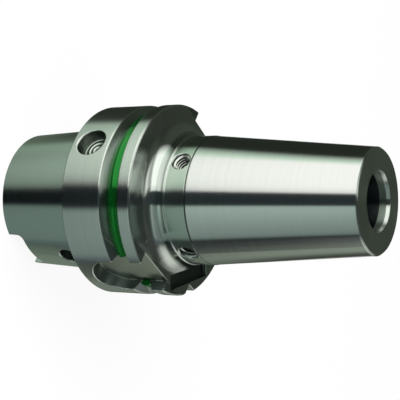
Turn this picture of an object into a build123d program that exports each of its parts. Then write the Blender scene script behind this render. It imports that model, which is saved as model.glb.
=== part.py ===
from build123d import *
import os
from math import hypot, isclose, radians, sqrt, tan

# Shrink-fit tool holder with a hollow taper shank, for a cutter with an 18 mm shank.
# Sizes are in millimetres. The axis is Z, and Z is 0 on the flange's contact face.
# The shank points down and the nose up. The narrow slot is at +X, the chip pocket at -Y.
# A distance is measured from the contact face, and a height from the axis.

# Taper shank
shank_length = 32.0
gauge_diameter = 48.01
gauge_distance = 6.3
taper_per_length = 0.1
shank_end_chamfer = 0.4

# Undercut in the corner between the shank and the flange's contact face
undercut_width = 1.6
undercut_shank_depth = 0.45
undercut_face_depth = 0.25
contact_inner_diameter = 50.0

# Hollow of the shank, where the spindle's gripper reaches in
mouth_diameter = 34.0
mouth_chamfer = 1.0
clamp_shoulder_distance = 22.6
clamp_shoulder_angle = 30.0
clamp_groove_depth = 1.5
cavity_floor_distance = 3.5
cavity_floor_chamfer = 1.5

# Drive keyways across the end of the shank
keyway_width = 17.0
keyway_depth = 5.9
keyway_corner_radius = 2.0
keyway_edge_break = 0.5

# Cross hole through the shank's two walls, for a manual clamping key
key_hole_diameter = 7.5
key_hole_distance = 9.8
key_hole_countersink = 0.5

# Flange and its gripper groove
flange_diameter = 63.0
flange_width = 26.0
flange_edge_break = 0.3
rim_front_chamfer = 0.5
groove_distance = 18.0
groove_width = 7.0
groove_depth = 4.0
groove_angle = 60.0

# Two slots in the flange, for the tool changer's keys
narrow_slot_width = 16.0
wide_slot_width = 18.0
slot_depth = 5.0
slot_end_distance = 4.4
slot_edge_break = 0.25

# Orientation notch in the front rim, and the shallow recess inside it
notch_angle = 45.0
notch_width = 6.8
notch_depth = 3.05
recess_length = 23.0
recess_width = 5.05
recess_inset = 3.55
recess_depth = 1.3

# Round pocket for a data chip
chip_pocket_angle = -90.0
chip_pocket_diameter = 10.0
chip_pocket_depth = 4.6
chip_pocket_distance = 7.25
chip_pocket_countersink = 0.4

# Neck, ground band and nose
neck_fillet_radius = 4.9
neck_root_length = 0.95
neck_step = 0.3
band_diameter = 42.0
band_length = 7.15
cone_step = 0.12
cone_relief_depth = 0.3
cone_relief_width = 0.15
nose_diameter = 33.0
nose_chamfer = 0.5
gauge_length = 95.0

# Threaded holes round the band, for balancing screws
balance_hole_count = 4
balance_thread_diameter = 6.0
balance_thread_depth = 8.0
balance_hole_countersink = 0.45
drill_point_angle = 118.0

# Bore for the cutter's shank, and the passages below it
bore_diameter = 18.0
bore_mouth_width = 0.45
bore_mouth_length = 1.2
clamping_length = 46.5
bore_relief_depth = 0.25
bore_relief_length = 3.0
stop_thread_diameter = 12.0
stop_thread_length = 23.0
channel_diameter = 10.4
coolant_thread_diameter = 18.0
coolant_thread_length = 11.0
coolant_thread_chamfer = 0.6

# Green colour band, seated in the bottom of the gripper groove
colour_band_thickness = 1.3
colour_band_crown = 0.8
colour_band_clearance = 0.05
colour_band_end_gap = 0.3

# Stop screw that the cutter rests on
stop_screw_length = 16.0
stop_screw_protrusion = 1.5
stop_screw_clearance = 0.1
stop_screw_chamfer = 0.8
stop_screw_hex_width = 6.0
stop_screw_hex_depth = 7.0
stop_screw_hole_diameter = 5.0

# How far a cutting shape runs out past the surface that it opens
cutter_overrun = 2.0

# Radii that follow from the sizes above
flange_radius = flange_diameter / 2
groove_bottom_radius = flange_radius - groove_depth
band_radius = band_diameter / 2
neck_root_radius = band_radius + neck_step
cone_base_radius = band_radius - cone_step
cone_relief_radius = band_radius - cone_relief_depth
nose_radius = nose_diameter / 2
bore_radius = bore_diameter / 2
mouth_radius = mouth_diameter / 2
clamp_groove_radius = mouth_radius + clamp_groove_depth
stop_thread_radius = stop_thread_diameter / 2
channel_radius = channel_diameter / 2
coolant_thread_radius = coolant_thread_diameter / 2

# Levels along the axis that follow from the sizes above
shank_end_level = -shank_length
cavity_floor_level = -cavity_floor_distance
coolant_seat_level = cavity_floor_level + coolant_thread_length
fillet_top_level = flange_width + neck_fillet_radius
neck_root_level = fillet_top_level + neck_root_length
band_start_level = neck_root_level + neck_step
band_end_level = band_start_level + band_length
cone_relief_end_level = band_end_level + cone_relief_width
cone_start_level = cone_relief_end_level + cone_base_radius - cone_relief_radius
bore_mouth_level = gauge_length - bore_mouth_length
bore_floor_level = bore_mouth_level - clamping_length
relief_floor_level = bore_floor_level - bore_relief_length
stop_thread_end_level = relief_floor_level - stop_thread_length


def shank_radius(level):
    """Radius of the taper at a level, from the gauge diameter."""
    return gauge_diameter / 2 + (level + gauge_distance) * taper_per_length / 2


def groove_half_width(radius):
    """Half the width of the gripper groove at a radius."""
    return groove_width / 2 - (flange_radius - radius) * tan(radians(groove_angle / 2))


def outer_profile():
    """Outside of the blank, from the end of the shank up to the nose, with a plain flange."""
    undercut_radius = shank_radius(-undercut_width) - undercut_shank_depth
    fillet_start = (neck_root_radius + neck_fillet_radius, flange_width)
    fillet_end = (neck_root_radius, fillet_top_level)
    shank_and_flange = Polyline(
        (shank_radius(shank_end_level) - shank_end_chamfer, shank_end_level),
        (shank_radius(shank_end_level), shank_end_level + shank_end_chamfer),
        (shank_radius(-undercut_width), -undercut_width),
        (undercut_radius, undercut_shank_depth - undercut_width),
        (undercut_radius, undercut_face_depth),
        (contact_inner_diameter / 2 - undercut_face_depth, undercut_face_depth),
        (contact_inner_diameter / 2, 0),
        (flange_radius, 0),
        (flange_radius, flange_width),
        fillet_start,
    )
    neck_fillet = RadiusArc(fillet_start, fillet_end, neck_fillet_radius)
    neck_and_nose = Polyline(
        fillet_end,
        (neck_root_radius, neck_root_level),
        (band_radius, band_start_level),
        (band_radius, band_end_level),
        (cone_relief_radius, band_end_level),
        (cone_relief_radius, cone_relief_end_level),
        (cone_base_radius, cone_start_level),
        (nose_radius, gauge_length - nose_chamfer),
        (nose_radius - nose_chamfer, gauge_length),
    )
    return shank_and_flange + neck_fillet + neck_and_nose


def inner_profile():
    """Bore, passages and hollow of the shank, from the nose down to the shank's end."""
    relief_radius = bore_radius + bore_relief_depth
    thread_run = stop_thread_radius - channel_radius
    shoulder_run = clamp_groove_depth / tan(radians(clamp_shoulder_angle))
    return Polyline(
        (nose_radius - nose_chamfer, gauge_length),
        (bore_radius + bore_mouth_width, gauge_length),
        (bore_radius, bore_mouth_level),
        (bore_radius, bore_floor_level),
        (relief_radius, bore_floor_level - bore_relief_depth),
        (relief_radius, relief_floor_level),
        (stop_thread_radius, relief_floor_level),
        (stop_thread_radius, stop_thread_end_level),
        (channel_radius, stop_thread_end_level - thread_run),
        (channel_radius, coolant_seat_level),
        (coolant_thread_radius, coolant_seat_level),
        (coolant_thread_radius, cavity_floor_level + coolant_thread_chamfer),
        (coolant_thread_radius + coolant_thread_chamfer, cavity_floor_level),
        (clamp_groove_radius - cavity_floor_chamfer, cavity_floor_level),
        (clamp_groove_radius, cavity_floor_level - cavity_floor_chamfer),
        (clamp_groove_radius, shoulder_run - clamp_shoulder_distance),
        (mouth_radius, -clamp_shoulder_distance),
        (mouth_radius, shank_end_level + mouth_chamfer),
        (mouth_radius + mouth_chamfer, shank_end_level),
        (shank_radius(shank_end_level) - shank_end_chamfer, shank_end_level),
    )


def turned_blank():
    """The holder as it leaves the lathe: one revolved section."""
    section = make_face(outer_profile() + inner_profile())
    return revolve(Plane.XZ * section, Axis.Z)


def groove_cutter():
    """Waste of the gripper groove, with its two edges broken at 45 degrees."""
    broken_radius = flange_radius - flange_edge_break
    half_bottom = groove_half_width(groove_bottom_radius)
    half_broken = groove_half_width(broken_radius)
    flare = flange_edge_break + cutter_overrun
    outline = Polyline(
        (groove_bottom_radius, groove_distance - half_bottom),
        (groove_bottom_radius, groove_distance + half_bottom),
        (broken_radius, groove_distance + half_broken),
        (broken_radius + flare, groove_distance + half_broken + flare),
        (broken_radius + flare, groove_distance - half_broken - flare),
        (broken_radius, groove_distance - half_broken),
        close=True,
    )
    return revolve(Plane.XZ * make_face(outline), Axis.Z)


def flange_corner_cutter(level, chamfer_size, outward):
    """Waste of the chamfer round one edge of the flange. Outward is 1 up or -1 down."""
    outer_radius = flange_radius + cutter_overrun
    inner_radius = flange_radius - chamfer_size - cutter_overrun
    end_level = level + outward * cutter_overrun
    outline = Polyline(
        (inner_radius, end_level),
        (outer_radius, level - outward * (chamfer_size + cutter_overrun)),
        (outer_radius, end_level),
        close=True,
    )
    return revolve(Plane.XZ * make_face(outline), Axis.Z)


def flange_cutters():
    """What is turned off the flange once its slots are milled: groove and chamfers."""
    back_chamfer = flange_corner_cutter(0, flange_edge_break, -1)
    front_chamfer = flange_corner_cutter(flange_width, rim_front_chamfer, 1)
    return [groove_cutter(), back_chamfer, front_chamfer]


def turned(shape, angle):
    """A shape made at +X, turned round the axis to its place in degrees."""
    return Rotation(0, 0, angle) * shape


def side_plane(height):
    """Plane across the +X side at a height from the axis: its x is Y and its y is Z."""
    return Plane(origin=(height, 0, 0), x_dir=(0, 1, 0), z_dir=(1, 0, 0))


def slot_cutter(width, clearance=0.0):
    """Straight slot with a full-radius end, milled across the +X side of the flange."""
    radius = width / 2 + clearance
    centre_level = slot_end_distance + width / 2
    reach = flange_width + cutter_overrun - centre_level
    run = Pos(0, centre_level + reach / 2) * Rectangle(2 * radius, reach)
    end = Pos(0, centre_level) * Circle(radius)
    floor_height = flange_radius - slot_depth - clearance
    return extrude(side_plane(floor_height) * (run + end), slot_depth + cutter_overrun)


def slot_cutters(clearance=0.0):
    """The narrow slot at +X and the wide one opposite."""
    narrow = slot_cutter(narrow_slot_width, clearance)
    wide = slot_cutter(wide_slot_width, clearance)
    return [narrow, turned(wide, 180)]


def on_flange_surface(edge):
    """Whether an edge lies all along in the plain flange's outside or its front face."""
    points = [edge.position_at(share) for share in (0.1, 0.5, 0.9)]
    outside = all(isclose(hypot(p.X, p.Y), flange_radius, abs_tol=1e-3) for p in points)
    in_front = all(isclose(p.Z, flange_width, abs_tol=1e-3) for p in points)
    return outside or in_front


def slotted_blank():
    """The blank with its two slots milled and their outer edges broken."""
    blank = turned_blank()
    slots = slot_cutters()
    slotted = blank - slots
    milled_edges = new_edges(blank, *slots, combined=slotted)
    return chamfer(milled_edges.filter_by(on_flange_surface), slot_edge_break)


def keyway_cutters():
    """Drive keyways across both walls of the shank, rounded inside and broken at the shank's end."""
    reach = keyway_depth + cutter_overrun
    slot = Rectangle(keyway_width, reach)
    inner_corners = slot.vertices().group_by(Axis.Y)[-1]
    slot = Pos(0, shank_end_level + keyway_depth - reach / 2) * fillet(inner_corners, keyway_corner_radius)
    mouth_half_width = keyway_width / 2 + keyway_edge_break + cutter_overrun
    mouth_level = shank_end_level - cutter_overrun
    broken_level = shank_end_level + keyway_edge_break
    mouth_outline = Polyline(
        (-mouth_half_width, mouth_level),
        (-keyway_width / 2, broken_level),
        (keyway_width / 2, broken_level),
        (mouth_half_width, mouth_level),
        close=True,
    )
    keyway = extrude(side_plane(0) * (slot + make_face(mouth_outline)), gauge_diameter / 2)
    return [keyway, turned(keyway, 180)]


def radial_hole_cutter(diameter, surface_height, depth, countersink, level, point_depth=0.0):
    """Round hole drilled in from the +X side, with a countersunk mouth."""
    radius = diameter / 2
    floor = surface_height - depth
    mouth = surface_height + cutter_overrun
    outline = Polyline(
        (0, floor - point_depth),
        (radius, floor),
        (radius, surface_height - countersink),
        (radius + countersink + cutter_overrun, mouth),
        (0, mouth),
        close=True,
    )
    upright = revolve(Plane.XZ * make_face(outline), Axis.Z)
    return Pos(0, 0, level) * Rotation(0, 90, 0) * upright


def key_hole_cutters():
    """Cross hole for the clamping key, drilled from both sides up to the axis."""
    surface_height = shank_radius(-key_hole_distance)
    hole = radial_hole_cutter(
        key_hole_diameter, surface_height, surface_height, key_hole_countersink, -key_hole_distance
    )
    return [hole, turned(hole, 180)]


def chip_pocket_cutter():
    """Flat-bottomed round pocket in the flange's outside."""
    pocket = radial_hole_cutter(
        chip_pocket_diameter,
        flange_radius,
        chip_pocket_depth,
        chip_pocket_countersink,
        chip_pocket_distance,
    )
    return turned(pocket, chip_pocket_angle)


def balance_hole_cutters():
    """Tapped holes spaced evenly round the band, in line with the two slots."""
    point_depth = balance_thread_diameter / 2 / tan(radians(drill_point_angle / 2))
    hole = radial_hole_cutter(
        balance_thread_diameter,
        band_radius,
        balance_thread_depth,
        balance_hole_countersink,
        (band_start_level + band_end_level) / 2,
        point_depth,
    )
    return [turned(hole, index * 360 / balance_hole_count) for index in range(balance_hole_count)]


def notch_cutter():
    """V notch across the front rim, from the gripper groove to the flange's front."""
    bottom_height = flange_radius - notch_depth
    outer_height = flange_radius + cutter_overrun
    half_width = notch_width / 2 * (outer_height - bottom_height) / notch_depth
    outline = Polyline(
        (bottom_height, 0),
        (outer_height, half_width),
        (outer_height, -half_width),
        close=True,
    )
    notch = extrude(make_face(outline), flange_width - groove_distance + cutter_overrun)
    return turned(Pos(0, 0, groove_distance) * notch, notch_angle)


def recess_cutter():
    """Shallow straight recess in the flange's front, running out into the neck fillet."""
    outer_height = flange_radius - recess_inset
    block = Box(
        recess_width,
        recess_length,
        recess_depth + neck_fillet_radius,
        align=(Align.MAX, Align.CENTER, Align.MIN),
    )
    return turned(Pos(outer_height, 0, flange_width - recess_depth) * block, notch_angle)


def holder_body():
    """The one-piece steel holder with all its milled and drilled features."""
    cutters = flange_cutters() + keyway_cutters() + key_hole_cutters() + balance_hole_cutters()
    cutters += [chip_pocket_cutter(), notch_cutter(), recess_cutter()]
    body = slotted_blank()
    for cutter in cutters:
        body -= cutter
    return body


def colour_bands():
    """The two lengths of colour band, each from one slot of the flange to the other."""
    seat_radius = groove_bottom_radius + colour_band_clearance
    edge_radius = seat_radius + colour_band_thickness
    crown_radius = edge_radius + colour_band_crown
    half_seat = groove_half_width(seat_radius) - colour_band_clearance
    half_edge = groove_half_width(edge_radius) - colour_band_clearance
    lower_edge = (edge_radius, groove_distance - half_edge)
    upper_edge = (edge_radius, groove_distance + half_edge)
    seat = Polyline(
        lower_edge,
        (seat_radius, groove_distance - half_seat),
        (seat_radius, groove_distance + half_seat),
        upper_edge,
    )
    crown = ThreePointArc(upper_edge, (crown_radius, groove_distance), lower_edge)
    ring = revolve(Plane.XZ * make_face(seat + crown), Axis.Z)
    for cutter in slot_cutters(colour_band_end_gap):
        ring -= cutter
    return ring.solids().sort_by(Axis.Y)


def stop_screw():
    """Hollow set screw with a hexagon socket, in the thread below the bore."""
    radius = stop_thread_radius - stop_screw_clearance
    hole_radius = stop_screw_hole_diameter / 2
    top = relief_floor_level + stop_screw_protrusion
    bottom = top - stop_screw_length
    outline = Polyline(
        (hole_radius, bottom),
        (radius - stop_screw_chamfer, bottom),
        (radius, bottom + stop_screw_chamfer),
        (radius, top - stop_screw_chamfer),
        (radius - stop_screw_chamfer, top),
        (hole_radius, top),
        close=True,
    )
    screw = revolve(Plane.XZ * make_face(outline), Axis.Z)
    hexagon = RegularPolygon(stop_screw_hex_width / sqrt(3), 6)
    socket = extrude(hexagon, stop_screw_hex_depth + cutter_overrun)
    return screw - Pos(0, 0, top - stop_screw_hex_depth) * socket


chip_side_band, notch_side_band = colour_bands()

sub_parts = {
    "holder_body": holder_body(),
    "colour_band_chip_side": chip_side_band,
    "colour_band_notch_side": notch_side_band,
    "length_stop_screw": stop_screw(),
}

os.makedirs("parts", exist_ok=True)
for name, shape in sub_parts.items():
    export_step(shape, f"parts/{name}.step")
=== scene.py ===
# Looks of the shrink fit tool holder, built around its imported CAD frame.
# Lengths are in metres and angles in degrees. The holder stands on its shank, with its axis on Z.
from math import cos, radians, sin, sqrt, tau

import bmesh
import bpy
from mathutils import Matrix, Vector


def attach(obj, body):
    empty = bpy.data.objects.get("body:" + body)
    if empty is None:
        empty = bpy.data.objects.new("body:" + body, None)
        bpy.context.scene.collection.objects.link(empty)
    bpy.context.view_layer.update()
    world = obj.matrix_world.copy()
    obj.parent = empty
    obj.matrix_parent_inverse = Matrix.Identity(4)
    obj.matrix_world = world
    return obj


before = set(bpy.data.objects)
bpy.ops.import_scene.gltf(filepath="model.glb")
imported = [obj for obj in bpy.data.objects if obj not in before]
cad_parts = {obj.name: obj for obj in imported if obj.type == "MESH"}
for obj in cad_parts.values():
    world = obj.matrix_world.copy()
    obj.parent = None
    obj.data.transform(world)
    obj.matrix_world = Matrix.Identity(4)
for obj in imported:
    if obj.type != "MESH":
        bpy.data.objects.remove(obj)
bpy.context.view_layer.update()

MM = 0.001


# Camera of the photograph, in the holder's frame
CAMERA_PLACE = (0.18944, -0.26170, 0.22558)
CAMERA_TURN = (-0.6266, -59.1554, 126.6421)
CAMERA_LENS = 103.55
CAMERA_AZIMUTH = -54.1

# Levels and radii of the CAD frame that the pieces and finishes follow
FLOOR_LEVEL = -32.02 * MM
COOLANT_MOUTH_LEVEL = -3.5 * MM
POCKET_LEVEL = 7.25 * MM
POCKET_FLOOR = -26.9 * MM
FLANGE_FRONT_LEVEL = 26.0 * MM
BALANCE_LEVEL = 35.725 * MM
NECK_RADIUS = 21.0 * MM


# Camera, floor and light

def add_camera():
    """The photograph's camera."""
    camera = bpy.data.objects.new("photo_camera", bpy.data.cameras.new("photo_camera"))
    camera.data.lens = CAMERA_LENS
    camera.data.clip_start = 0.01
    camera.location = CAMERA_PLACE
    camera.rotation_euler = [radians(angle) for angle in CAMERA_TURN]
    bpy.context.scene.collection.objects.link(camera)
    bpy.context.scene.camera = camera


def new_material(name):
    """An empty node material with its output, its node tree and its links."""
    material = bpy.data.materials.new(name)
    material.use_nodes = True
    material.node_tree.nodes.clear()
    output = material.node_tree.nodes.new("ShaderNodeOutputMaterial")
    return material, material.node_tree, output


def add_node(tree, kind, **settings):
    """A node of a kind, with its own settings given by name."""
    node = tree.nodes.new(kind)
    for name, value in settings.items():
        setattr(node, name, value)
    return node


def seen_directly(tree):
    """1 for rays of the camera, of mirrors and of glass, which show the background as it is."""
    path = add_node(tree, "ShaderNodeLightPath")
    camera_or_mirror = add_node(tree, "ShaderNodeMath", operation="MAXIMUM")
    any_of_three = add_node(tree, "ShaderNodeMath", operation="MAXIMUM")
    tree.links.new(path.outputs["Is Camera Ray"], camera_or_mirror.inputs[0])
    tree.links.new(path.outputs["Is Glossy Ray"], camera_or_mirror.inputs[1])
    tree.links.new(camera_or_mirror.outputs[0], any_of_three.inputs[0])
    tree.links.new(path.outputs["Is Transmission Ray"], any_of_three.inputs[1])
    return any_of_three.outputs[0]


FLOOR_SIZE = 6.0
FLOOR_COLOUR = (0.88, 0.88, 0.88, 1)
FLOOR_WHITE_SHARE = 0.9


def floor_material():
    """Pale paper that looks white to the eye and still takes the holder's shadow."""
    material, tree, output = new_material("floor_paper")
    paper = add_node(tree, "ShaderNodeBsdfDiffuse")
    paper.inputs["Color"].default_value = FLOOR_COLOUR
    white = add_node(tree, "ShaderNodeEmission")
    white.inputs["Strength"].default_value = 1.0
    share = add_node(tree, "ShaderNodeMath", operation="MULTIPLY")
    share.inputs[1].default_value = FLOOR_WHITE_SHARE
    tree.links.new(seen_directly(tree), share.inputs[0])
    mix = add_node(tree, "ShaderNodeMixShader")
    tree.links.new(share.outputs[0], mix.inputs["Fac"])
    tree.links.new(paper.outputs[0], mix.inputs[1])
    tree.links.new(white.outputs[0], mix.inputs[2])
    tree.links.new(mix.outputs[0], output.inputs["Surface"])
    return material


def add_floor():
    """A square of floor under the shank's end."""
    half = FLOOR_SIZE / 2
    mesh = bpy.data.meshes.new("floor")
    corners = [(-half, -half), (half, -half), (half, half), (-half, half)]
    mesh.from_pydata([(x, y, FLOOR_LEVEL) for x, y in corners], [], [(0, 1, 2, 3)])
    mesh.materials.append(floor_material())
    floor = bpy.data.objects.new("floor", mesh)
    floor.visible_glossy = False
    bpy.context.scene.collection.objects.link(floor)


def toward(azimuth, elevation):
    """Unit vector at an azimuth from the camera's side and an elevation above the floor."""
    turn = radians(CAMERA_AZIMUTH + azimuth)
    rise = radians(elevation)
    return Vector((cos(turn) * cos(rise), sin(turn) * cos(rise), sin(rise)))


def add_lamp(name, azimuth, elevation, reach, size, power, colour):
    """A square soft lamp aimed at the middle of the holder. The tent stands in for its mirror image."""
    lamp = bpy.data.lights.new(name, "AREA")
    lamp.size = size
    lamp.energy = power
    lamp.color = colour
    rig = bpy.data.objects.new(name, lamp)
    aim = Vector((0, 0, FLANGE_FRONT_LEVEL))
    rig.location = aim + toward(azimuth, elevation) * reach
    rig.rotation_euler = (aim - rig.location).to_track_quat("-Z", "Y").to_euler()
    rig.visible_glossy = False
    bpy.context.scene.collection.objects.link(rig)


ROOM_LIGHT = 0.42


def add_world():
    """An even white room. The tent stands in for its mirror image too."""
    world = bpy.data.worlds.new("soft_room")
    world.use_nodes = True
    room = world.node_tree.nodes["Background"]
    room.inputs["Color"].default_value = (1.0, 1.0, 1.0, 1)
    room.inputs["Strength"].default_value = ROOM_LIGHT
    bpy.context.scene.world = world
    world.cycles_visibility.glossy = False


# The light tent: what the metal mirrors in each direction round the holder.
# Its cloth hangs in strips. At each strip's edge stand its tints low down, on the nose's level and above it,
# its azimuth from the camera's side on the levels that the shank, the flange and the nose mirror, and its
# brightness on those levels, below the shoulder, at the shoulder, above it and near the top.

# Elevations of the tent's levels, and its brightness at the foot, straight below and straight above
FOOT, SHANK_VIEW, FLANGE_VIEW, NOSE_VIEW = -56, -43, -33, -18
LEVEL, RISE, SHOULDER, ABOVE, TOP = 0, 22, 38, 47, 72
FOOT_SHARE = 0.85
NADIR_GLOW, ZENITH_GLOW = 0.02, 0.07

# Tints of the cloth, and the three that stand at a strip's edge
LEAF_WHITE = (0.80, 1.03, 0.83)
PURE_WHITE = (1.03, 1.0, 0.98)
CREAM = (0.93, 1.0, 0.91)
BLUE_GREY = (0.78, 1.0, 0.91)
OLIVE = (0.84, 1.0, 0.80)
INK = (0.75, 1.0, 1.05)
MOSS = (0.80, 1.0, 0.76)
MOSS_STRIP = (MOSS, MOSS, MOSS)
LEAF_STRIP = (LEAF_WHITE, LEAF_WHITE, CREAM)
WHITE_STRIP = (LEAF_WHITE, PURE_WHITE, CREAM)
BLUE_STRIP = (BLUE_GREY, BLUE_GREY, BLUE_GREY)
OLIVE_STRIP = (OLIVE, OLIVE, CREAM)
INK_STRIP = (INK, INK, INK)
INK_CREAM_STRIP = (INK, INK, CREAM)
BACK_STRIP = (BLUE_GREY, PURE_WHITE, MOSS)
BEHIND = (0.35, 0.04, 0.03, 0.085, 0.045, 0.07, 0.07)
BACK_LIGHT = (0.60, 0.90, 1.10, 0.085, 0.045, 0.07, 0.07)
BACK_TOP_LIGHT = (0.60, 0.90, 1.10, 0.085, 0.045, 0.10, 1.0)
TENT_EDGES = (
    (BACK_STRIP, (-180, -180, -180), BACK_LIGHT),
    (BACK_STRIP, (-177, -177, -177), BACK_LIGHT),
    (BACK_STRIP, (-174, -174, -174), BACK_TOP_LIGHT),
    (BACK_STRIP, (-170, -170, -170), BACK_TOP_LIGHT),
    (MOSS_STRIP, (-163, -163, -163), BEHIND),
    (MOSS_STRIP, (-102, -110, -101), (0.35, 0.04, 0.03, 0.08, 0.06, 0.10, 0.15)),
    (LEAF_STRIP, (-87, -102, -84), (0.15, 0.80, 1.20, 1.30, 1.40, 0.30, 1.15)),
    (WHITE_STRIP, (-62, -84, -77), (0.24, 1.03, 1.68, 1.70, 1.90, 0.30, 1.45)),
    (WHITE_STRIP, (-42, -32, -26), (0.24, 1.01, 1.70, 1.70, 1.90, 0.30, 1.30)),
    (WHITE_STRIP, (-28, -23, -16.5), (0.17, 0.66, 1.50, 1.30, 1.30, 0.15, 0.25)),
    (INK_STRIP, (-16, -16, -13), (0.006, 0.027, 0.045, 0.05, 0.055, 0.055, 0.06)),
    (INK_STRIP, (8, 9.5, 8), (0.006, 0.030, 0.045, 0.05, 0.055, 0.055, 0.06)),
    (BLUE_STRIP, (13, 15.5, 11), (0.27, 0.40, 0.87, 0.30, 0.60, 0.07, 0.06)),
    (BLUE_STRIP, (40, 40, 40), (0.31, 0.41, 0.57, 0.30, 0.58, 0.07, 0.06)),
    (BLUE_STRIP, (74, 69, 68), (0.31, 0.35, 0.34, 0.24, 0.45, 0.07, 0.06)),
    (INK_STRIP, (82, 78, 73), (0.22, 0.035, 0.020, 0.12, 0.20, 0.07, 0.06)),
    (INK_CREAM_STRIP, (87, 105, 87), (0.22, 0.03, 0.03, 0.80, 0.15, 0.07, 0.08)),
    (OLIVE_STRIP, (92, 112, 97), (0.26, 0.14, 0.13, 0.95, 0.30, 0.07, 0.10)),
    (OLIVE_STRIP, (112, 126, 112), (0.35, 0.24, 0.35, 0.95, 0.35, 0.07, 0.10)),
    (OLIVE_STRIP, (131, 146, 121), (0.35, 0.26, 0.35, 0.85, 0.35, 0.07, 0.10)),
    (OLIVE_STRIP, (150, 160, 135), (0.26, 0.18, 0.10, 0.50, 0.25, 0.07, 0.08)),
    (OLIVE_STRIP, (156, 164, 144), (0.30, 0.10, 0.06, 0.50, 0.30, 0.07, 0.08)),
    (MOSS_STRIP, (163, 168, 152), BEHIND),
    (BACK_STRIP, (170, 173, 170), BACK_LIGHT),
    (BACK_STRIP, (180, 180, 180), BACK_LIGHT),
)
TENT_RADIUS = 2.5


def tent_material():
    """Cloth that glows as its points are coloured."""
    material, tree, output = new_material("tent_cloth")
    cloth = add_node(tree, "ShaderNodeVertexColor", layer_name="cloth")
    glow = add_node(tree, "ShaderNodeEmission")
    tree.links.new(cloth.outputs["Color"], glow.inputs["Color"])
    tree.links.new(glow.outputs[0], output.inputs["Surface"])
    return material


def tent_rows(azimuths, brightness):
    """Elevation, azimuth and brightness of one edge between two strips, from the floor up."""
    on_shank, on_flange, on_nose = azimuths
    at_shank, at_flange, at_nose, at_rise, at_shoulder, at_above, at_top = brightness
    return (
        (-90, on_shank, NADIR_GLOW),
        (FOOT, on_shank, FOOT_SHARE * at_shank),
        (SHANK_VIEW, on_shank, at_shank),
        (SHANK_VIEW + 5, on_shank, at_shank),
        (FLANGE_VIEW - 3, on_flange, at_flange),
        (FLANGE_VIEW + 7, on_flange, at_flange),
        (NOSE_VIEW - 4, on_nose, at_nose),
        (NOSE_VIEW + 5, on_nose, at_nose),
        (LEVEL, on_nose, at_rise),
        (RISE, on_nose, at_rise),
        (SHOULDER, on_nose, at_shoulder),
        (ABOVE, on_nose, at_above),
        (TOP, on_nose, at_top),
        (90, on_nose, ZENITH_GLOW),
    )


def add_tent():
    """A round tent of plain cloth strips, seen only in mirror images."""
    edges = []
    for tints, azimuths, brightness in TENT_EDGES:
        edges.append((tints, tent_rows(azimuths, brightness)))
    levels = len(edges[0][1])
    points = []
    colours = []
    for level in range(levels):
        for (low_tint, nose_tint, high_tint), rows in edges:
            elevation, azimuth, light = rows[level]
            tint = low_tint if elevation < NOSE_VIEW - 6 else nose_tint
            tint = tint if elevation < LEVEL else high_tint
            points.append(toward(azimuth, elevation) * TENT_RADIUS)
            colours.append((*[part * light for part in tint], 1.0))
    columns = len(edges)
    faces = []
    for row in range(levels - 1):
        for column in range(columns - 1):
            corner = row * columns + column
            faces.append((corner, corner + 1, corner + columns + 1, corner + columns))
    mesh = bpy.data.meshes.new("light_tent")
    mesh.from_pydata(points, [], faces)
    layer = mesh.color_attributes.new("cloth", "FLOAT_COLOR", "POINT")
    for index, colour in enumerate(colours):
        layer.data[index].color = colour
    mesh.materials.append(tent_material())
    tent = bpy.data.objects.new("light_tent", mesh)
    tent.visible_camera = False
    tent.visible_diffuse = False
    tent.visible_transmission = False
    tent.visible_volume_scatter = False
    tent.visible_shadow = False
    bpy.context.scene.collection.objects.link(tent)


# Finishes

EDGE_ROUND = 0.4 * MM
ZONE_EDGE = 0.05 * MM

# Zones of the steel: limits of the level and of the distance from the axis, set just off the CAD's faces
SHANK_TOP = -0.3 * MM
SHANK_INSIDE_RADIUS = 21.4 * MM
GROOVE_LEVELS = (14.3 * MM, 21.7 * MM)
GROOVE_RADII = (27.0 * MM, 31.2 * MM)
BESIDE_BAND_RADII = (27.3 * MM, 27.9 * MM)
SLOT_START_LEVEL = 4.2 * MM
SLOT_FLOOR_REACH = (26.3 * MM, 26.62 * MM)
SLOT_RIM_RADIUS = 31.2 * MM
POCKET_ZONE_RADIUS = 5.15 * MM
POCKET_ZONE_START = -26.7 * MM
POCKET_RIM_RADIUS = 31.0 * MM
RECESS_LEVELS = (24.5 * MM, 25.9 * MM)
RECESS_REACH = (22.7 * MM, 28.1 * MM)
RECESS_RIM_RADIUS = 30.3 * MM
FILLET_LEVELS = (26.06 * MM, 31.9 * MM)
FILLET_RADII = (20.9 * MM, 27.0 * MM)
NECK_LEVELS = (29.2 * MM, 31.8 * MM)
RING_LEVELS = (32.1 * MM, 39.2 * MM)
NECK_SKIN_RADIUS = 20.9 * MM
CONE_START_LEVELS = (39.2 * MM, 39.62 * MM)
CONE_START_RADIUS = 21.1 * MM
TAPPED_LEVELS = (30.0 * MM, 39.5 * MM)
TAPPED_RADII = (10.5 * MM, 20.55 * MM)
BORE_LEVELS = (46.5 * MM, 93.7 * MM)
BORE_ZONE_RADIUS = 9.3 * MM
MOUTH_LEVELS = (91.6 * MM, 93.7 * MM)
MOUTH_ZONE_RADIUS = 9.25 * MM

# The middle of a noise's range, which is spread over a finish
NOISE_SPREAD = (0.3, 0.7)

# Turning marks and grain of the steel: scale and detail of each noise, and its share of the streaks
FINE_RINGS, FINE_SHARE = (7000.0, 3.0), 0.4
COARSE_RINGS, COARSE_SHARE = (900.0, 2.0), 0.3
GRAIN_SCALE, GRAIN_SHARE = 2400.0, 0.3
STREAK_SPREAD = (0.32, 0.68)

# Cosine between a rounded edge's normal and its face's own, from the full painted glint and wear to none
GLINT_AND_WEAR_COSINES = (0.86, 0.985)

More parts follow.
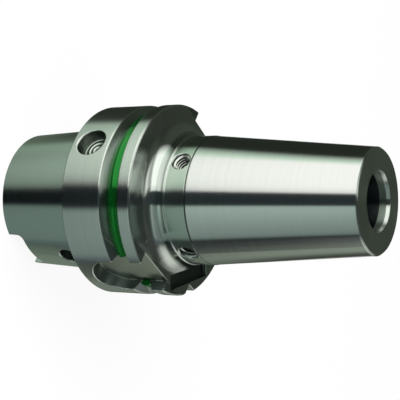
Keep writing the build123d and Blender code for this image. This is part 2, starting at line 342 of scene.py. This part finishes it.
# Roughness of the ground steel, and how much each zone adds to it
GROUND_ROUGHNESS = (0.185, 0.205)
ZONE_ROUGHNESS = {
    "shank": 0.02, "bore": 0.02, "mouth": 0.23, "fillet": -0.06, "milled": 0.12, "slot_floor": 0.16,
    "shaded": 0.05, "hidden": 0.25,
}

# The two greys of the turned rings, and the shade of each zone, in the order in which they cover one another
RING_GREYS = ((0.54, 0.55, 0.54, 1), (0.58, 0.59, 0.58, 1))
ZONE_SHADES = {
    "shank": (0.455, 0.52, 0.485, 1),
    # painted shade in the V groove
    "groove": (0.37, 0.41, 0.38, 1),
    "ring": (0.45, 0.51, 0.46, 1),
    # painted shade at the foot of the neck's fillet and on the neck
    "neck": (0.40, 0.44, 0.41, 1),
    # painted shade inside the bore, lighter in its mouth
    "bore": (0.34, 0.37, 0.40, 1),
    "mouth": (0.46, 0.51, 0.47, 1),
    # the slot walls: duller milled steel, darkened further by painted shade
    "milled": (0.25, 0.28, 0.275, 1),
    "slot_floor": (0.48, 0.51, 0.45, 1),
    "shaded": (0.18, 0.20, 0.18, 1),
    "hidden": (0.14, 0.155, 0.15, 1),
    # a painted highlight on the rounded outer edges, with their wear
    "glint_and_wear": (0.76, 0.79, 0.76, 1),
}

# How strongly the turning marks streak a reflection, and how much more in the bore's mouth
STREAKING, MOUTH_STREAKING = 0.92, 0.08

# Levels across the holder of the tool marks' crests and troughs in the chip pocket; the troughs get painted
# shade
POCKET_CREST, POCKET_TROUGH = -27.12 * MM, -26.97 * MM


def new_shader(name, metallic):
    """A node material with a principled shader on its output."""
    material, tree, output = new_material(name)
    shader = add_node(tree, "ShaderNodeBsdfPrincipled")
    shader.inputs["Metallic"].default_value = metallic
    tree.links.new(shader.outputs[0], output.inputs["Surface"])
    return material, tree, shader


def tone_map(tree, value, low, high, to_low, to_high):
    """A node output spread from one range onto another, held at its ends."""
    spread = add_node(tree, "ShaderNodeMapRange", interpolation_type="SMOOTHSTEP")
    tree.links.new(value, spread.inputs["Value"])
    spread.inputs["From Min"].default_value = low
    spread.inputs["From Max"].default_value = high
    spread.inputs["To Min"].default_value = to_low
    spread.inputs["To Max"].default_value = to_high
    return spread.outputs["Result"]


def maths(tree, operation, first, second):
    """A node that works out one number from an output and another output or a number."""
    node = add_node(tree, "ShaderNodeMath", operation=operation)
    for socket, value in zip(node.inputs, (first, second)):
        if isinstance(value, (int, float)):
            socket.default_value = value
        else:
            tree.links.new(value, socket)
    return node.outputs[0]


def blend(tree, factor, first, second):
    """A colour from the first, which is a colour or an output, to the second, which is a colour."""
    mix = add_node(tree, "ShaderNodeMix", data_type="RGBA")
    mix.inputs["B"].default_value = second
    tree.links.new(factor, mix.inputs["Factor"])
    if isinstance(first, tuple):
        mix.inputs["A"].default_value = first
    else:
        tree.links.new(first, mix.inputs["A"])
    return mix.outputs["Result"]


def below(tree, value, limit):
    """1 where a value is under a limit, with a soft edge of a tenth of a millimetre."""
    return tone_map(tree, value, limit - ZONE_EDGE, limit + ZONE_EDGE, 1.0, 0.0)


def above(tree, value, limit):
    """1 where a value is over a limit, with a soft edge of a tenth of a millimetre."""
    return tone_map(tree, value, limit - ZONE_EDGE, limit + ZONE_EDGE, 0.0, 1.0)


def between(tree, value, limits):
    """1 where a value is over the first limit and under the second."""
    low, high = limits
    return maths(tree, "MULTIPLY", above(tree, value, low), below(tree, value, high))


def all_of(tree, *masks):
    """1 where every mask is 1."""
    total = masks[0]
    for mask in masks[1:]:
        total = maths(tree, "MULTIPLY", total, mask)
    return total


def any_of(tree, *masks):
    """1 where some mask is 1."""
    total = masks[0]
    for mask in masks[1:]:
        total = maths(tree, "MAXIMUM", total, mask)
    return total


def distance(tree, first, second):
    """Distance from the origin of a point with two coordinates."""
    first_square = maths(tree, "MULTIPLY", first, first)
    second_square = maths(tree, "MULTIPLY", second, second)
    return maths(tree, "SQRT", maths(tree, "ADD", first_square, second_square), 0.0)


def axes_of(tree):
    """The three coordinates of a point of the holder."""
    place = add_node(tree, "ShaderNodeTexCoord")
    split = add_node(tree, "ShaderNodeSeparateXYZ")
    tree.links.new(place.outputs["Object"], split.inputs[0])
    return split.outputs["X"], split.outputs["Y"], split.outputs["Z"]


def ring_noise(tree, radius, level, scale, detail):
    """Noise that changes with the distance from the axis and along it, as turning marks do."""
    rings = add_node(tree, "ShaderNodeCombineXYZ")
    tree.links.new(radius, rings.inputs["X"])
    tree.links.new(level, rings.inputs["Y"])
    noise = add_node(tree, "ShaderNodeTexNoise", noise_dimensions="2D")
    tree.links.new(rings.outputs[0], noise.inputs["Vector"])
    noise.inputs["Scale"].default_value = scale
    noise.inputs["Detail"].default_value = detail
    return noise.outputs["Fac"]


def grain_noise(tree, scale, detail=2.0):
    """Noise that is the same in every direction."""
    place = add_node(tree, "ShaderNodeTexCoord")
    noise = add_node(tree, "ShaderNodeTexNoise")
    noise.inputs["Scale"].default_value = scale
    noise.inputs["Detail"].default_value = detail
    tree.links.new(place.outputs["Object"], noise.inputs["Vector"])
    return noise.outputs["Fac"]


def add_relief(tree, shader, height, strength, depth):
    """Gives a shader the relief of a height, and returns its node."""
    relief = add_node(tree, "ShaderNodeBump")
    relief.inputs["Strength"].default_value = strength
    relief.inputs["Distance"].default_value = depth
    tree.links.new(height, relief.inputs["Height"])
    tree.links.new(relief.outputs[0], shader.inputs["Normal"])
    return relief


def milled_zones(tree, across, level, radius):
    """1 on the walls of the slots, and 1 on their floors, which were milled and not ground."""
    floor_start, floor_end = SLOT_FLOOR_REACH
    far_across = maths(tree, "ABSOLUTE", across, 0.0)
    in_slot = all_of(
        tree,
        above(tree, far_across, floor_start),
        above(tree, level, SLOT_START_LEVEL),
        below(tree, radius, SLOT_RIM_RADIUS),
    )
    floor = maths(tree, "MULTIPLY", in_slot, below(tree, far_across, floor_end))
    return maths(tree, "SUBTRACT", in_slot, floor), floor


def shaded_zone(tree, across, back, level, radius):
    """1 on the chip pocket's wall, beside the green band, and in the fine relief where the cone starts."""
    from_pocket = distance(tree, across, maths(tree, "SUBTRACT", level, POCKET_LEVEL))
    pocket = all_of(
        tree,
        below(tree, from_pocket, POCKET_ZONE_RADIUS),
        below(tree, back, POCKET_ZONE_START),
        below(tree, radius, POCKET_RIM_RADIUS),
    )
    beside_band = all_of(tree, between(tree, radius, BESIDE_BAND_RADII), between(tree, level, GROOVE_LEVELS))
    cone_start = all_of(tree, between(tree, level, CONE_START_LEVELS), below(tree, radius, CONE_START_RADIUS))
    return any_of(tree, pocket, beside_band, cone_start)


def hidden_zone(tree, across, back, level, radius):
    """1 where light hardly reaches: the shank's inside and cross hole, the tapped holes and the recess."""
    shank_inside = all_of(tree, below(tree, level, SHANK_TOP), below(tree, radius, SHANK_INSIDE_RADIUS))
    tapped = all_of(tree, between(tree, radius, TAPPED_RADII), between(tree, level, TAPPED_LEVELS))
    towards_notch = maths(tree, "MULTIPLY", maths(tree, "ADD", across, back), sqrt(0.5))
    recess = all_of(
        tree,
        between(tree, towards_notch, RECESS_REACH),
        between(tree, level, RECESS_LEVELS),
        below(tree, radius, RECESS_RIM_RADIUS),
    )
    return any_of(tree, shank_inside, tapped, recess)


def steel_zones(tree, across, back, level, radius):
    """The zones of the holder's steel by name, each 1 inside and 0 outside."""
    outside_neck = above(tree, radius, NECK_SKIN_RADIUS)
    milled, slot_floor = milled_zones(tree, across, level, radius)
    return {
        "shank": below(tree, level, SHANK_TOP),
        "bore": all_of(tree, below(tree, radius, BORE_ZONE_RADIUS), between(tree, level, BORE_LEVELS)),
        "mouth": all_of(tree, below(tree, radius, MOUTH_ZONE_RADIUS), between(tree, level, MOUTH_LEVELS)),
        "fillet": all_of(tree, between(tree, level, FILLET_LEVELS), between(tree, radius, FILLET_RADII)),
        "groove": all_of(tree, between(tree, level, GROOVE_LEVELS), between(tree, radius, GROOVE_RADII)),
        "neck": all_of(tree, between(tree, level, NECK_LEVELS), outside_neck),
        "ring": all_of(tree, between(tree, level, RING_LEVELS), outside_neck),
        "milled": milled,
        "slot_floor": slot_floor,
        "shaded": shaded_zone(tree, across, back, level, radius),
        "hidden": hidden_zone(tree, across, back, level, radius),
    }


def rounded_edges(tree):
    """The normal of edges that are rounded over, and a mask that is 1 on those edges."""
    edges = add_node(tree, "ShaderNodeBevel", samples=8)
    edges.inputs["Radius"].default_value = EDGE_ROUND
    surface = add_node(tree, "ShaderNodeNewGeometry")
    agreement = add_node(tree, "ShaderNodeVectorMath", operation="DOT_PRODUCT")
    tree.links.new(edges.outputs[0], agreement.inputs[0])
    tree.links.new(surface.outputs["Normal"], agreement.inputs[1])
    return edges.outputs[0], tone_map(tree, agreement.outputs["Value"], *GLINT_AND_WEAR_COSINES, 1.0, 0.0)


def steel_material(name):
    """Turned and ground steel: fine rings round the axis, duller where it was only milled or drilled, painted
    shade in its hollows and a painted highlight on its outer edges.
    """
    material, tree, shader = new_shader(name, 1.0)
    shader.inputs["Anisotropic Rotation"].default_value = 0.25
    tangent = add_node(tree, "ShaderNodeTangent", direction_type="RADIAL", axis="Z")
    tree.links.new(tangent.outputs[0], shader.inputs["Tangent"])

    across, back, level = axes_of(tree)
    radius = distance(tree, across, back)
    fine = ring_noise(tree, radius, level, *FINE_RINGS)
    fine_part = maths(tree, "MULTIPLY", fine, FINE_SHARE)
    coarse_part = maths(tree, "MULTIPLY", ring_noise(tree, radius, level, *COARSE_RINGS), COARSE_SHARE)
    grain_part = maths(tree, "MULTIPLY", grain_noise(tree, GRAIN_SCALE), GRAIN_SHARE)
    streaks = maths(tree, "ADD", maths(tree, "ADD", fine_part, coarse_part), grain_part)

    # the outer edges are painted lighter as a painted highlight, with some wear from handling
    zones = steel_zones(tree, across, back, level, radius)
    edge_normal, rounded = rounded_edges(tree)
    inside = any_of(tree, *[zones[zone] for zone in ("milled", "slot_floor", "shaded", "hidden")])
    zones["glint_and_wear"] = maths(tree, "MULTIPLY", rounded, maths(tree, "SUBTRACT", 1.0, inside))

    streaking = maths(tree, "ADD", STREAKING, maths(tree, "MULTIPLY", zones["mouth"], MOUTH_STREAKING))
    tree.links.new(streaking, shader.inputs["Anisotropic"])

    roughness = tone_map(tree, streaks, *NOISE_SPREAD, *GROUND_ROUGHNESS)
    for zone, extra in ZONE_ROUGHNESS.items():
        roughness = maths(tree, "ADD", roughness, maths(tree, "MULTIPLY", zones[zone], extra))
    tree.links.new(roughness, shader.inputs["Roughness"])

    colour = blend(tree, tone_map(tree, streaks, *STREAK_SPREAD, 0.0, 1.0), *RING_GREYS)
    for zone, shade in ZONE_SHADES.items():
        colour = blend(tree, zones[zone], colour, shade)
    tree.links.new(colour, shader.inputs["Base Color"])

    relief = add_relief(tree, shader, fine, 0.12, 0.004 * MM)
    tree.links.new(edge_normal, relief.inputs["Normal"])
    return material


def cut_material(name):
    """Cut steel of the threads, with fine marks of its own."""
    material, tree, shader = new_shader(name, 1.0)
    marks = grain_noise(tree, 5000.0)
    tree.links.new(tone_map(tree, marks, *NOISE_SPREAD, 0.18, 0.28), shader.inputs["Roughness"])
    colour = blend(tree, marks, (0.48, 0.50, 0.48, 1), (0.62, 0.63, 0.61, 1))
    tree.links.new(colour, shader.inputs["Base Color"])
    return material


def pocket_material(name):
    """Milled steel of the chip pocket's tool marks, with painted shade that darkens the troughs between their
    crests.
    """
    material, tree, shader = new_shader(name, 1.0)
    back = axes_of(tree)[1]
    # painted shade: darker down in the troughs between the crests
    painted_trough_shade = tone_map(tree, back, POCKET_CREST, POCKET_TROUGH, 0.0, 1.0)
    colour = blend(tree, painted_trough_shade, (0.52, 0.56, 0.52, 1), (0.24, 0.27, 0.24, 1))
    tree.links.new(colour, shader.inputs["Base Color"])
    roughness = tone_map(tree, grain_noise(tree, 3000.0), *NOISE_SPREAD, 0.16, 0.26)
    tree.links.new(roughness, shader.inputs["Roughness"])
    return material


def band_material(name):
    """Green lacquer with a green sheen, faintly uneven as it dried."""
    material, tree, shader = new_shader(name, 0.0)
    shader.inputs["IOR"].default_value = 1.65
    shader.inputs["Specular IOR Level"].default_value = 1.0
    shader.inputs["Specular Tint"].default_value = (0.11, 1.0, 0.19, 1)
    clouds = grain_noise(tree, 300.0)
    grain = grain_noise(tree, 4000.0)
    colour = blend(tree, clouds, (0.001, 0.034, 0.004, 1), (0.002, 0.044, 0.006, 1))
    tree.links.new(colour, shader.inputs["Base Color"])
    tree.links.new(tone_map(tree, grain, *NOISE_SPREAD, 0.07, 0.11), shader.inputs["Roughness"])
    add_relief(tree, shader, grain, 0.1, 0.005 * MM)
    return material


def oxide_material(name):
    """Steel under a dull black oxide, mottled and rubbed lighter in places."""
    material, tree, shader = new_shader(name, 0.6)
    mottle = grain_noise(tree, 900.0, 6.0)
    rubbed = tone_map(tree, mottle, 0.4, 0.75, 0.0, 1.0)
    colour = blend(tree, rubbed, (0.020, 0.021, 0.023, 1), (0.060, 0.060, 0.062, 1))
    tree.links.new(colour, shader.inputs["Base Color"])
    tree.links.new(tone_map(tree, mottle, *NOISE_SPREAD, 0.48, 0.34), shader.inputs["Roughness"])
    return material


def dress(node, material):
    """Puts a finish on a CAD node, in place of the one that it came with."""
    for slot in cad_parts[node].material_slots:
        slot.material = material


# Threads, which the CAD solids leave as plain holes at their major diameter

THREAD_SINK = 0.02 * MM
THREAD_STEPS = 56
RUN_OUT_STEPS = THREAD_STEPS * 0.3

# Depth and half widths of a metric inside thread, as shares of its pitch
THREAD_DEPTH = 0.5413
ROOT_HALF = 0.4375
CREST_HALF = 0.125


def add_thread(name, mouth, outward, major_radius, pitch, start_depth, end_depth):
    """The helical crest of an inside thread. Depths run from the mouth into the hole."""
    depth_of_thread = THREAD_DEPTH * pitch
    root_half = ROOT_HALF * pitch
    crest_half = CREST_HALF * pitch
    turns = (end_depth - start_depth) / pitch
    total = int(turns * THREAD_STEPS)
    root_radius = major_radius + THREAD_SINK
    mesh_points = []
    for step in range(total + 1):
        turn = tau * step / THREAD_STEPS
        depth = start_depth + pitch * step / THREAD_STEPS
        lead = min(1.0, step / RUN_OUT_STEPS, (total - step) / RUN_OUT_STEPS)
        crest_radius = major_radius - depth_of_thread * lead
        for radius, offset in (
            (root_radius, -root_half),
            (crest_radius, -crest_half),
            (crest_radius, crest_half),
            (root_radius, root_half),
        ):
            mesh_points.append((radius * cos(turn), radius * sin(turn), -depth - offset))
    faces = []
    for step in range(total):
        near = 4 * step
        far = near + 4
        for side in range(4):
            following = (side + 1) % 4
            faces.append((near + side, far + side, far + following, near + following))
    faces.append((3, 2, 1, 0))
    last = 4 * total
    faces.append((last, last + 1, last + 2, last + 3))
    mesh = bpy.data.meshes.new(name)
    mesh.from_pydata(mesh_points, [], faces)
    turned = Vector((0, 0, 1)).rotation_difference(outward).to_matrix().to_4x4()
    mesh.transform(Matrix.Translation(mouth) @ turned)
    shape = bmesh.new()
    shape.from_mesh(mesh)
    bmesh.ops.recalc_face_normals(shape, faces=shape.faces)
    shape.to_mesh(mesh)
    shape.free()
    mesh.materials.append(cut_steel)
    thread = bpy.data.objects.new(name, mesh)
    bpy.context.scene.collection.objects.link(thread)
    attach(thread, "root")


# Rings of the end mill on the floor of the chip pocket

MARK_STEPS = 96
MARK_RINGS_PER_PITCH = 6


def add_pocket_marks(name, centre, outward, radius, pitch, height):
    """Rings that the end mill left on the floor of the chip pocket, as one thin disc."""
    rings = int(radius / pitch * MARK_RINGS_PER_PITCH)
    points = [(0, 0, height)]
    for ring in range(1, rings + 1):
        ring_radius = radius * ring / rings
        rise = height * (0.5 + 0.5 * cos(tau * ring_radius / pitch))
        for step in range(MARK_STEPS):
            turn = tau * step / MARK_STEPS
            points.append((ring_radius * cos(turn), ring_radius * sin(turn), rise))
    faces = []
    for step in range(MARK_STEPS):
        following = (step + 1) % MARK_STEPS
        faces.append((0, 1 + step, 1 + following))
        for ring in range(rings - 1):
            near = 1 + ring * MARK_STEPS
            far = near + MARK_STEPS
            faces.append((near + step, far + step, far + following, near + following))
    mesh = bpy.data.meshes.new(name)
    mesh.from_pydata(points, [], faces)
    turned = Vector((0, 0, 1)).rotation_difference(outward).to_matrix().to_4x4()
    mesh.transform(Matrix.Translation(centre) @ turned)
    for face in mesh.polygons:
        face.use_smooth = True
    mesh.materials.append(pocket_steel)
    marks = bpy.data.objects.new(name, mesh)
    bpy.context.scene.collection.objects.link(marks)
    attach(marks, "root")


# The scene

add_camera()
add_floor()
add_world()
add_tent()
add_lamp("key_lamp", azimuth=-45, elevation=48, reach=1.2, size=0.9, power=16.0, colour=(1.0, 1.0, 0.98))
add_lamp("fill_lamp", azimuth=70, elevation=40, reach=1.4, size=1.0, power=7.0, colour=(0.97, 1.0, 1.0))
bpy.context.scene.view_settings.view_transform = "Standard"

steel = steel_material("ground_steel")
cut_steel = cut_material("cut_steel")
pocket_steel = pocket_material("pocket_steel")
green = band_material("green_band")
black_oxide = oxide_material("blackened_steel")
dress("holder_body", steel)
dress("colour_band_chip_side", green)
dress("colour_band_notch_side", green)
dress("length_stop_screw", black_oxide)

BALANCE_HOLES = (("narrow_slot_side", 0), ("notch_side", 90), ("wide_slot_side", 180), ("chip_side", 270))
for side, azimuth in BALANCE_HOLES:
    outward = Vector((cos(radians(azimuth)), sin(radians(azimuth)), 0))
    mouth = outward * NECK_RADIUS + Vector((0, 0, BALANCE_LEVEL))
    add_thread(
        f"balance_thread_{side}", mouth, outward,
        major_radius=3.0 * MM, pitch=1.0 * MM, start_depth=0.9 * MM, end_depth=7.4 * MM,
    )
add_thread(
    "coolant_thread", Vector((0, 0, COOLANT_MOUTH_LEVEL)), Vector((0, 0, -1)),
    major_radius=9.0 * MM, pitch=1.0 * MM, start_depth=1.1 * MM, end_depth=10.4 * MM,
)
add_pocket_marks(
    "chip_pocket_tool_marks", Vector((0, POCKET_FLOOR, POCKET_LEVEL)), Vector((0, -1, 0)),
    radius=4.98 * MM, pitch=1.53 * MM, height=0.28 * MM,
)
